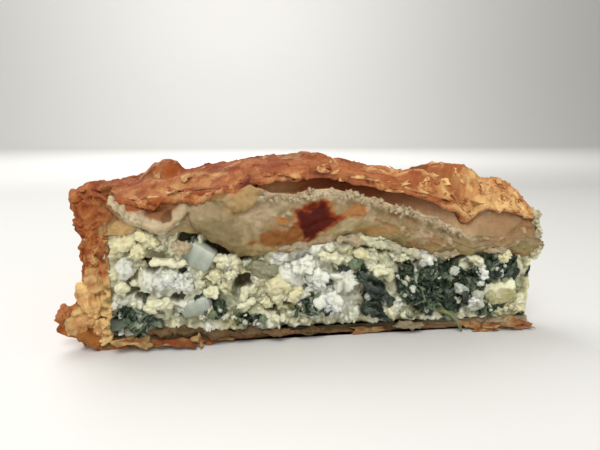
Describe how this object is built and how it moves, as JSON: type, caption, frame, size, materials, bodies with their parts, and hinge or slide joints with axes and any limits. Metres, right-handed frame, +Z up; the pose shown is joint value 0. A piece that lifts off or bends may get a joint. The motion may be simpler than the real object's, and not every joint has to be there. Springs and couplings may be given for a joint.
{
  "type": "vegetable tart slice",
  "caption": "Slice of deep round puff pastry tart with a browned lid, filled with crumbled white cheese, spinach and onion.",
  "frame": {"origin": "middle of the bounding box's bottom face, on the plate that the slice stands on", "axes": "+Z up, +X from the browned rim to the middle of the tart along the front cut, -Y out of the front cut"},
  "size_m": [0.1233, 0.0868, 0.0456],
  "materials": {
    "case_pastry": "satin",
    "browned_pastry": "satin",
    "white_cheese": "satin",
    "firm_cheese": "satin",
    "soft_onion": "satin",
    "cooked_spinach": "satin"
  },
  "bodies": {
    "root": {"pastry_case": "case_pastry", "pastry_lid": "browned_pastry", "filling": "white_cheese", "onion_large": "soft_onion", "onion_small": "soft_onion", "onion_back": "soft_onion", "cheese_lump": "firm_cheese", "cheese_lump_back": "firm_cheese", "spinach_clump_large": "cooked_spinach", "spinach_clump_upper": "cooked_spinach", "spinach_clump_small": "cooked_spinach", "spinach_clump_rim": "cooked_spinach", "spinach_clump_back": "cooked_spinach", "spinach_clump_back_rim": "cooked_spinach", "spinach_leaf_upper": "cooked_spinach", "spinach_leaf_lower": "cooked_spinach", "spinach_leaf_back": "cooked_spinach"}
  },
  "joints": []
}
